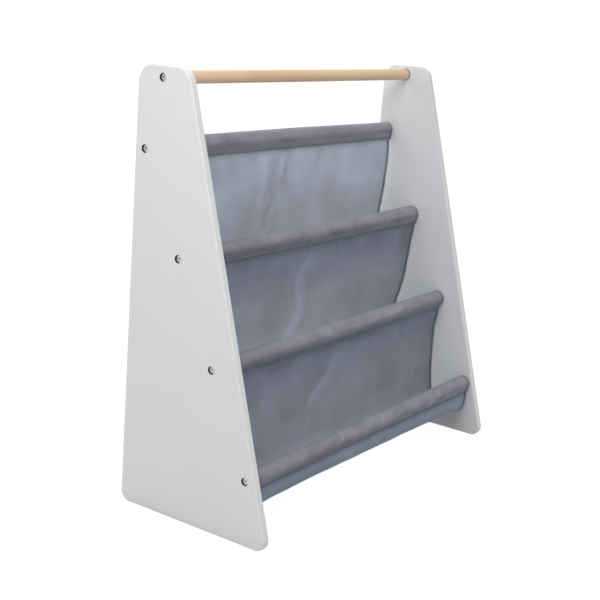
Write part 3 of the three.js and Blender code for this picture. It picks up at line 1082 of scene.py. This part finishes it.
def sling_line(order):
    """A sling's section in Y and Z, from inside the upper seam to inside the lower one."""
    shares = list(sling_shares.values())[order]
    upper_shift = 0 if order == 0 else sheet_step / 2
    lower_shift = 0 if order == bottom_sling else sheet_step / 2
    upper = -seam_forward(order) - upper_shift
    lower = -rod_step[0] - seam_forward(order + 1) + lower_shift
    upper_end = lip_ends[order]
    lower_end = rod_step[1] + lip_ends[order + 1]
    hung = [(-run * rod_step[0], -rise * rod_step[1]) for run, rise in shares]
    leaves = np.array((upper, -upper_end - seat_gap))
    enters = np.array((lower, -lower_end - seat_gap))
    curve = smooth_curve([leaves, *hung, enters], sling_rows)
    first = np.array((upper, -upper_end + lip_length - hem_tuck))
    last = np.array((lower, -lower_end + lip_length - hem_tuck))
    shares = np.arange(tuck_rows)[:, None] / tuck_rows
    head = first + shares * (leaves - first)
    tail = last + shares[::-1] * (enters - last)
    return np.vstack((head, curve, tail)) + rods[order]


# Folds on the back of each pocket. A path runs down over the cloth, through places across and
# up in millimetres. Height is outwards for a ridge and inwards for a hollow, left and right are
# the reach of its two flanks, and tone is how much paler or darker its painted light and shade makes
# the cloth.
Fold = namedtuple("Fold", "path height left right tone")
folds = {
    "sling_top": [
        Fold([(-57, 470), (-56, 447), (-60, 425), (-66, 395)], 1.3, 9.1, 7.8, 0.36),
        Fold([(-35, 470), (-38, 438), (-35, 410)], -0.7, 13, 13, -0.18),
        Fold([(-7, 468), (-7, 444), (-12, 418)], -0.8, 5.2, 6.5, -0.3),
        Fold([(-88, 472), (-80, 449)], -0.8, 5.2, 5.2, -0.3),
        Fold([(-33, 408), (-42, 385), (-44, 355)], -1.1, 7.8, 11.7, -0.54),
        Fold([(-22, 398), (-23, 373), (-20, 352)], -0.8, 7.8, 10.4, -0.24),
        Fold([(60, 407), (52, 350)], -0.9, 34, 330, -0.2),
        Fold([(160, 475), (152, 420), (145, 350)], 1.2, 26, 30, 0),
        Fold([(-182, 475), (-176, 410), (-160, 340)], 1.4, 24, 28, 0),
    ],
    "sling_middle": [
        Fold([(-6, 340), (-10, 328), (-20, 317)], 0.9, 3.9, 3.9, 0.3),
        Fold(
            [(-23, 320), (-33, 297), (-29, 273), (-18, 247), (-20, 223), (-37, 198)],
            1.4, 10.4, 15, 0.48,
        ),
        Fold([(-76, 330), (-74, 305)], -1.2, 14.3, 13, -0.3),
        Fold([(215, 262), (190, 185)], -0.8, 90, 150, -0.42),
        Fold([(160, 340), (168, 270), (160, 205)], 1.1, 30, 26, 0),
        Fold([(-175, 340), (-160, 270), (-146, 205)], 1.3, 26, 26, 0),
    ],
    "sling_bottom": [
        Fold([(-18, 188), (-27, 168), (-39, 152), (-62, 140), (-77, 122)], 1.3, 9.1, 16, 0.4),
        Fold([(-52, 190), (-66, 160), (-95, 138), (-112, 110)], 0.4, 52, 24, -0.5),
        Fold([(-73, 106), (-79, 97), (-87, 86)], 1.1, 6.5, 7.8, 0.3),
        Fold([(-45, 176), (-55, 156)], -0.9, 18.2, 11.7, -0.24),
        Fold([(118, 113), (118, 101)], -0.9, 10.4, 10.4, -0.24),
        Fold([(243, 113), (243, 101)], -0.9, 10.4, 10.4, -0.24),
        Fold([(140, 168), (118, 95)], -0.8, 60, 60, -0.3),
        Fold([(-180, 210), (-170, 140), (-175, 80)], 1.2, 22, 30, 0),
    ],
}
fold_fade = 9 * mm
fold_steps = 60

# Waves over a whole sling, calmer on its front, and patches in the painted light and shade of the
# narrow folds
hang_waves = [(210 * mm, 900 * mm), (130 * mm, 520 * mm), (84 * mm, -610 * mm), (57 * mm, 380 * mm)]
hang_height = 0.8 * mm
front_swing = 0.25
patch_waves = [(34 * mm, 51 * mm), (19 * mm, -27 * mm), (53 * mm, 23 * mm)]
patch_swing = 0.3
narrow_fold = 15

# Gathers below a seam: the reach and length of each one, between two limits in millimetres, and
# the most that it leans
pucker_count = 30
pucker_ranges = [(2.5, 9), (8, 42)]
pucker_lean = 0.5
pucker_height = 0.5 * mm
# How much painted light and shade each gather gets, paler on a ridge and darker in a hollow
pucker_tone = 0.4

# How much lower a sling hangs towards its left and right ends. The belly of the bottom one also
# tilts down to the right and droops at its ends, between these shares of the sling's length.
end_droop = 5 * mm
droop_power = 4
belly_tilt = 0.011
belly_droop = 4 * mm
belly_power = 6
belly_start_shares = (0.35, 0.7)
belly_end_shares = (0.88, 0.98)

# The back of a pocket fades out over this many rows above its lowest one. Waves and folds are
# full at the free reach from a seam, and the seam's strays and tone fade out over its own reach.
belly_rows = 14
free_reach = 14 * mm
seam_reach = 34 * mm

# Painted light and shade on the slings: how much paler each sling is below its upper seam. The
# top one is paler still close to the seam and towards its left end, and the bottom one is paler on
# its front and darker on its back, above all low down. Hems get painted shade, but for their outermost
# edge.
seam_tones = (0.15, 0.6, 0.8)
brink_tone = 0.6
brink_reach = 9 * mm
top_left_tone = 0.7
top_left_starts = (60 * mm, 260 * mm)
bottom_front_tone = 1.2
bottom_front_shares = (0.5, 0.7)
bottom_back_tone = -0.15
bottom_low_tone = -0.4
bottom_low_starts = (-150 * mm, -90 * mm)
tone_limits = (-1.2, 1.4)
sling_hem_tone = 0.6
sling_end_reach = 0.8 * mm


def fold_share(fold, x, z):
    """How far each place is from a fold's line, as a share of its reach, and how it fades out."""
    path = smooth_curve(fold.path, fold_steps) * mm
    away = x - np.interp(-z, -path[:, 1], path[:, 0])
    reach = np.where(away < 0, fold.left, fold.right) * mm
    top, foot = path[0, 1], path[-1, 1]
    fades = smooth_step(z, foot - fold_fade, foot + fold_fade)
    return away / reach, fades * (1 - smooth_step(z, top - fold_fade, top + fold_fade))


def seam_puckers(seed, x, below):
    """Short gathers that hang down from a seam, each one a soft ridge or hollow."""
    draw = np.random.RandomState(seed)
    total = np.zeros(np.broadcast(x, below).shape)
    for _ in range(pucker_count):
        place = draw.uniform(-sling_half_width, sling_half_width)
        reach, length = (draw.uniform(*limits) * mm for limits in pucker_ranges)
        lean = draw.uniform(-pucker_lean, pucker_lean)
        across = (x - place - lean * below) / reach
        total += draw.uniform(-1, 1) * bell(across) * bell(below / length)
    return total


def hung_grid(order, line, along, x):
    """The middle surface of a sling before its waves, folds and puckers."""
    grid = np.empty((len(line), len(x), 3))
    grid[..., 0] = x
    grid[..., 1:] = line[:, None, :]
    near_end = abs(x / sling_half_width)
    grid[..., 2] -= end_droop * near_end ** droop_power * np.sin(math.pi * along) ** 2
    if order == bottom_sling:
        tilt = belly_tilt * x + belly_droop * near_end ** belly_power
        in_belly = smooth_step(along, *belly_start_shares) * (1 - smooth_step(along, *belly_end_shares))
        grid[..., 2] -= tilt * in_belly
    return grid


def sling_tone(order, grid, along, from_seam, on_back):
    """The painted light and shade on a sling from place to place, apart from its folds."""
    tone = seam_tones[order] * bell(from_seam / seam_reach)
    if order == 0:
        tone = tone + brink_tone * bell(from_seam / brink_reach)
        tone = tone + top_left_tone * smooth_step(-grid[..., 0], *top_left_starts)
    if order == bottom_sling:
        low = smooth_step(-grid[..., 2], *bottom_low_starts)
        tone = tone + (bottom_back_tone + bottom_low_tone * low) * on_back
        tone = tone + bottom_front_tone * smooth_step(along, *bottom_front_shares)
    return tone


def sling_surface(order, name, x):
    """The middle surface of a sling, and the painted light and shade of its gathers, folds and places
    on it.
    """
    line = sling_line(order)
    travel = lengths_along(line)[:, None]
    left_over = travel[-1] - travel
    along = travel / travel[-1]
    from_seam = travel - lip_length
    lowest = int(np.argmin(line[:, 1]))
    row = np.arange(len(line))[:, None]
    on_back = 1 - smooth_step(row, lowest - belly_rows, lowest)
    free = smooth_step(travel, lip_length, lip_length + free_reach)
    free = free * smooth_step(left_over, lip_length, lip_length + free_reach)

    grid = hung_grid(order, line, along, x)
    puckers = seam_puckers(order + pucker_seed, grid[..., 0], from_seam)
    swing = front_swing + (1 - front_swing) * on_back
    waves = ripple(order + hang_seed, hang_waves, grid[..., 0], travel)
    height = hang_height * swing * waves + pucker_height * puckers
    # Painted light and shade of the gathers, of places on the sling and of its folds
    painted_light_shade = pucker_tone * puckers + sling_tone(order, grid, along, from_seam, on_back)
    patchy = 1 + patch_swing * ripple(order + patch_seed, patch_waves, grid[..., 0], travel)
    for fold in folds[name]:
        share, fades = fold_share(fold, grid[..., 0], grid[..., 2])
        fades = fades * on_back
        height = height + fold.height * mm * bell(share) * fades
        uneven = patchy if fold.left < narrow_fold else 1
        painted_light_shade = painted_light_shade + fold.tone * uneven * np.exp(-abs(share) ** 3) * fades
    grid += normals_of(grid) * (height * free)[..., None]

    for rod, away in ((order, travel), (order + 1, left_over)):
        strays = sleeve_strays[rod]
        held = 1 - smooth_step(away, 2 * lip_length, 2 * lip_length + seam_reach)
        grid[..., 1] -= run_of(strays["slip"], x) * held
        grid[..., 2] -= run_of(strays["lower"], x) * held
    return grid, np.clip(painted_light_shade * free, *tone_limits)


def add_sling(order, name):
    x = sheet_columns(sling_half_width, sling_hem, sling_pitch)
    grid, painted_light_shade = sling_surface(order, name, x)
    hem = hem_mask(grid[..., 0], sling_half_width, sling_hem)
    thickness = cloth_thickness * (1 + sling_hem_thickening * hem)
    end = smooth_step(abs(grid[..., 0]), sling_half_width - sling_end_reach, sling_half_width)
    # Painted shade on the hems, but for their outermost edge
    dark = sling_hem_tone * (hem - end)
    sling = hang_sheet(name, "sling_cloth", grid, thickness, painted_light_shade, dark)
    normals = normals_of(grid)
    stitched = slice(hem_stitch_ends, -hem_stitch_ends)
    for label, edge in (("left", -1), ("right", 1)):
        place = edge * (sling_half_width - sling_hem + hem_stitch_inset)
        column = int(np.argmin(abs(x - place)))
        for face, side in (("inner", 1), ("outer", -1)):
            outward = side * normals[stitched, column]
            line = grid[stitched, column] + outward * thickness[stitched, column][:, None] / 2
            stitch_row(f"{name}_{label}_{face}_stitches", line, outward)


# Bolts: a head with a hexagon socket, and a threaded shank that reaches into the bar
bolt_reach = 28 * mm
head_height = 4 * mm
head_radius = 5 * mm
head_ease = 0.6 * mm
head_ease_rings = 5
under_head_ease = 0.2 * mm
shank_radius = 3 * mm
key_width = 4 * mm
key_depth = 2.4 * mm
key_dish = 0.5 * mm
key_ease = 0.25 * mm
thread_pitch = 1 * mm
thread_depth = 0.5 * mm
thread_steps = 6
thread_start = 0.4 * mm
thread_ends = 1.5 * mm
tip_ease = 0.6 * mm
tip_inset = 1 * mm
closing_radius = 0.02 * mm
bolt_sides = 48
sharp_bolt_angle = math.radians(32)


def hexagon_reach(angle, width):
    """How far a hexagon's outline is from its middle at an angle."""
    sector = math.pi / 3
    return width / 2 / np.cos((angle + sector / 2) % sector - sector / 2)


def bolt_mesh():
    """A bolt along +X from the top of its head, as rings from the socket's floor outwards."""
    turn = np.arange(bolt_sides) * 2 * math.pi / bolt_sides
    hexagon = hexagon_reach(turn, key_width)
    eased = hexagon_reach(turn, key_width + 2 * key_ease)
    steady = np.ones_like(turn)
    rings = [
        (key_depth + key_dish, closing_radius * steady),
        (key_depth, hexagon),
        (key_ease, hexagon),
        (0, eased),
    ]
    for swing in np.linspace(0, math.pi / 2, head_ease_rings):
        depth = head_ease * (1 - math.cos(swing))
        rings.append((depth, (head_radius - head_ease + head_ease * math.sin(swing)) * steady))
    rings.append((head_height - under_head_ease, head_radius * steady))
    rings.append((head_height, (head_radius - under_head_ease) * steady))
    rings.append((head_height, shank_radius * steady))
    for step in range(int((bolt_reach - thread_ends) / thread_pitch * thread_steps)):
        depth = head_height + thread_start + step * thread_pitch / thread_steps
        phase = (depth / thread_pitch + turn / (2 * math.pi)) % 1
        cut = thread_depth * (1 - abs(2 * phase - 1))
        rings.append((depth, shank_radius - cut))
    tip = head_height + bolt_reach
    rings.append((tip - tip_ease, (shank_radius - tip_ease) * steady))
    rings.append((tip, (shank_radius - tip_inset) * steady))
    rings.append((tip, closing_radius * steady))
    points = [
        (depth, reach * math.cos(angle), reach * math.sin(angle))
        for depth, reaches in rings for reach, angle in zip(reaches, turn)
    ]
    mesh = bpy.data.meshes.new("bolt")
    mesh.from_pydata(points, [], tube_faces(len(rings), bolt_sides))
    mesh.shade_smooth()
    mesh.set_sharp_from_angle(angle=sharp_bolt_angle)
    mesh.materials.append(finishes["bolt_steel"])
    return mesh


def add_bolts():
    shape = bolt_mesh()
    for node in frame["nodes"]:
        if "_bolt_" not in node:
            continue
        low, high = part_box(node)
        on_left = node.startswith("left")
        bolt = link(bpy.data.objects.new(f"{node}_steel", shape))
        _, across, up = middle_of(node)
        bolt.location = (low[0] if on_left else high[0], across, up)
        bolt.rotation_euler = (0, 0, 0 if on_left else math.pi)
        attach(bolt, "root")
        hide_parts(node)


# The model's own pieces: shared corners and smooth arcs for their shading, and their finish
merge_reach = 0.005 * mm
sharp_facet_angle = math.radians(38)
flat_face_weight = 100
own_slots = ("painted_board", "bare_wood", "insert_brass")


def smoothing_group():
    """Joins the facets of a piece and shades it smooth up to the edges that are sharp."""
    group = bpy.data.node_groups.new("smooth_facets", "GeometryNodeTree")
    for way in ("INPUT", "OUTPUT"):
        group.interface.new_socket("Geometry", in_out=way, socket_type="NodeSocketGeometry")
    entry = group.nodes.new("NodeGroupInput")
    result = group.nodes.new("NodeGroupOutput")
    merged = out(add_node(
        group, "GeometryNodeMergeByDistance", None, Geometry=entry.outputs[0], Distance=merge_reach,
    ))
    bare = out(add_node(
        group, "GeometryNodeRemoveAttribute", None, Geometry=merged, Name="custom_normal",
    ))
    faces = out(add_node(group, "GeometryNodeSetShadeSmooth", None, Geometry=bare))
    angle = group.nodes.new("GeometryNodeInputMeshEdgeAngle").outputs[0]
    soft = out(add_node(
        group, "FunctionNodeCompare", {"operation": "LESS_THAN"}, A=angle, B=sharp_facet_angle,
    ))
    edges = out(add_node(
        group, "GeometryNodeSetShadeSmooth", {"domain": "EDGE"}, Geometry=faces, Shade_Smooth=soft,
    ))
    group.links.new(edges, result.inputs[0])
    return group


def finish_model_pieces():
    smooth_facets = smoothing_group()
    for part in frame["record"]["subparts"]:
        if part["material_slot"] not in own_slots:
            continue
        piece = frame["nodes"][part["node"]]
        for holder in piece.material_slots:
            holder.material = finishes[part["material_slot"]]
        smoothing = piece.modifiers.new("smooth_facets", "NODES")
        smoothing.node_group = smooth_facets
        weights = piece.modifiers.new("flat_faces_first", "WEIGHTED_NORMAL")
        weights.keep_sharp = True
        weights.weight = flat_face_weight


add_camera()
bpy.context.scene.view_settings.view_transform = "Standard"
add_surroundings()
add_floor()
for name, lamp in lamps.items():
    add_lamp(name, **lamp)
finish_model_pieces()
add_bolts()
for rod in range(rod_count):
    add_sleeve(rod)
for order, name in enumerate(sling_shares):
    add_sling(order, name)
